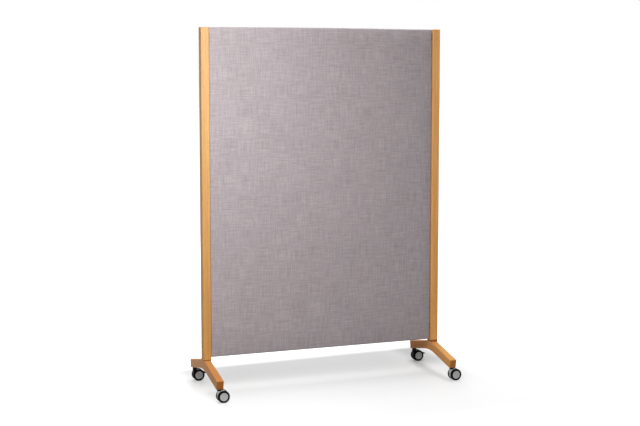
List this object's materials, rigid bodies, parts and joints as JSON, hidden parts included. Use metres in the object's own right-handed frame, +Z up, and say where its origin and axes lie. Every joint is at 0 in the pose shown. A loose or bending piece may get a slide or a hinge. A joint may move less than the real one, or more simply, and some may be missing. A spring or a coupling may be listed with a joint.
{
  "type": "rolling partition",
  "caption": "Rolling partition: a fabric-covered panel between wooden posts on splayed feet, each leg on a swivelling twin-wheel caster, the rear ones with brake levers.",
  "frame": {"origin": "on the floor, at the middle of the space that the partition covers with its wheels trailing towards +X", "axes": "+Z up; +X along the panel, to the right seen from the front; +Y from the front to the back, where the braked casters are"},
  "size_m": [1.323, 0.5, 1.8],
  "materials": {
    "oak": "satin",
    "frame_wood": "matte",
    "core_board": "matte",
    "padding_felt": "matte",
    "panel_fabric": "matte",
    "bolt_steel": "satin",
    "brass": "satin",
    "steel": "satin",
    "grey_plastic": "satin",
    "black_plastic": "satin",
    "hub_plastic": "satin",
    "tyre_rubber": "matte"
  },
  "bodies": {
    "root": {"left_post": "oak", "right_post": "oak", "left_foot": "oak", "right_foot": "oak", "left_stile": "frame_wood", "right_stile": "frame_wood", "top_rail": "frame_wood", "middle_rail": "frame_wood", "bottom_rail": "frame_wood", "frame_dowels": "frame_wood", "foot_dowels": "frame_wood", "acoustic_core": "core_board", "front_padding": "padding_felt", "back_padding": "padding_felt", "front_fabric": "panel_fabric", "back_fabric": "panel_fabric", "panel_bolts": "bolt_steel", "panel_spacers": "black_plastic", "panel_inserts": "brass", "post_inserts": "brass", "caster_sockets": "brass", "foot_bolts": "steel", "foot_washers": "steel", "front_left_collar": "black_plastic", "front_left_stem": "steel", "front_right_collar": "black_plastic", "front_right_stem": "steel", "rear_left_collar": "black_plastic", "rear_left_stem": "steel", "rear_right_collar": "black_plastic", "rear_right_stem": "steel"},
    "front_left_caster": {"front_left_fork": "grey_plastic", "front_left_axle": "steel"},
    "front_left_fore_wheel": {"front_left_fore_hub": "hub_plastic", "front_left_fore_tyre": "tyre_rubber"},
    "front_left_aft_wheel": {"front_left_aft_hub": "hub_plastic", "front_left_aft_tyre": "tyre_rubber"},
    "front_right_caster": {"front_right_fork": "grey_plastic", "front_right_axle": "steel"},
    "front_right_fore_wheel": {"front_right_fore_hub": "hub_plastic", "front_right_fore_tyre": "tyre_rubber"},
    "front_right_aft_wheel": {"front_right_aft_hub": "hub_plastic", "front_right_aft_tyre": "tyre_rubber"},
    "rear_left_caster": {"rear_left_fork": "black_plastic", "rear_left_axle": "steel", "rear_left_lever_pin": "steel"},
    "rear_left_fore_wheel": {"rear_left_fore_hub": "hub_plastic", "rear_left_fore_tyre": "tyre_rubber"},
    "rear_left_aft_wheel": {"rear_left_aft_hub": "hub_plastic", "rear_left_aft_tyre": "tyre_rubber"},
    "rear_left_lever": {"rear_left_brake_lever": "black_plastic"},
    "rear_right_caster": {"rear_right_fork": "black_plastic", "rear_right_axle": "steel", "rear_right_lever_pin": "steel"},
    "rear_right_fore_wheel": {"rear_right_fore_hub": "hub_plastic", "rear_right_fore_tyre": "tyre_rubber"},
    "rear_right_aft_wheel": {"rear_right_aft_hub": "hub_plastic", "rear_right_aft_tyre": "tyre_rubber"},
    "rear_right_lever": {"rear_right_brake_lever": "black_plastic"}
  },
  "joints": [
    {"name": "front_left_swivel", "type": "hinge", "parent": "root", "child": "front_left_caster", "pos_m": [-0.6415, -0.228, 0.0725], "axis": [0, 0, 1], "continuous": true},
    {"name": "front_left_fore_roll", "type": "hinge", "parent": "front_left_caster", "child": "front_left_fore_wheel", "pos_m": [-0.6235, -0.228, 0.03], "axis": [0, 1, 0], "continuous": true},
    {"name": "front_left_aft_roll", "type": "hinge", "parent": "front_left_caster", "child": "front_left_aft_wheel", "pos_m": [-0.6235, -0.228, 0.03], "axis": [0, 1, 0], "continuous": true},
    {"name": "front_right_swivel", "type": "hinge", "parent": "root", "child": "front_right_caster", "pos_m": [0.5985, -0.228, 0.0725], "axis": [0, 0, 1], "continuous": true},
    {"name": "front_right_fore_roll", "type": "hinge", "parent": "front_right_caster", "child": "front_right_fore_wheel", "pos_m": [0.6165, -0.228, 0.03], "axis": [0, 1, 0], "continuous": true},
    {"name": "front_right_aft_roll", "type": "hinge", "parent": "front_right_caster", "child": "front_right_aft_wheel", "pos_m": [0.6165, -0.228, 0.03], "axis": [0, 1, 0], "continuous": true},
    {"name": "rear_left_swivel", "type": "hinge", "parent": "root", "child": "rear_left_caster", "pos_m": [-0.6415, 0.228, 0.0725], "axis": [0, 0, 1], "continuous": true},
    {"name": "rear_left_fore_roll", "type": "hinge", "parent": "rear_left_caster", "child": "rear_left_fore_wheel", "pos_m": [-0.6235, 0.228, 0.03], "axis": [0, 1, 0], "continuous": true},
    {"name": "rear_left_aft_roll", "type": "hinge", "parent": "rear_left_caster", "child": "rear_left_aft_wheel", "pos_m": [-0.6235, 0.228, 0.03], "axis": [0, 1, 0], "continuous": true},
    {"name": "rear_left_brake", "type": "hinge", "parent": "rear_left_caster", "child": "rear_left_lever", "pos_m": [-0.6065, 0.228, 0.045], "axis": [0, 1, 0], "range_deg": [0, 14]},
    {"name": "rear_right_swivel", "type": "hinge", "parent": "root", "child": "rear_right_caster", "pos_m": [0.5985, 0.228, 0.0725], "axis": [0, 0, 1], "continuous": true},
    {"name": "rear_right_fore_roll", "type": "hinge", "parent": "rear_right_caster", "child": "rear_right_fore_wheel", "pos_m": [0.6165, 0.228, 0.03], "axis": [0, 1, 0], "continuous": true},
    {"name": "rear_right_aft_roll", "type": "hinge", "parent": "rear_right_caster", "child": "rear_right_aft_wheel", "pos_m": [0.6165, 0.228, 0.03], "axis": [0, 1, 0], "continuous": true},
    {"name": "rear_right_brake", "type": "hinge", "parent": "rear_right_caster", "child": "rear_right_lever", "pos_m": [0.6335, 0.228, 0.045], "axis": [0, 1, 0], "range_deg": [0, 14]}
  ]
}
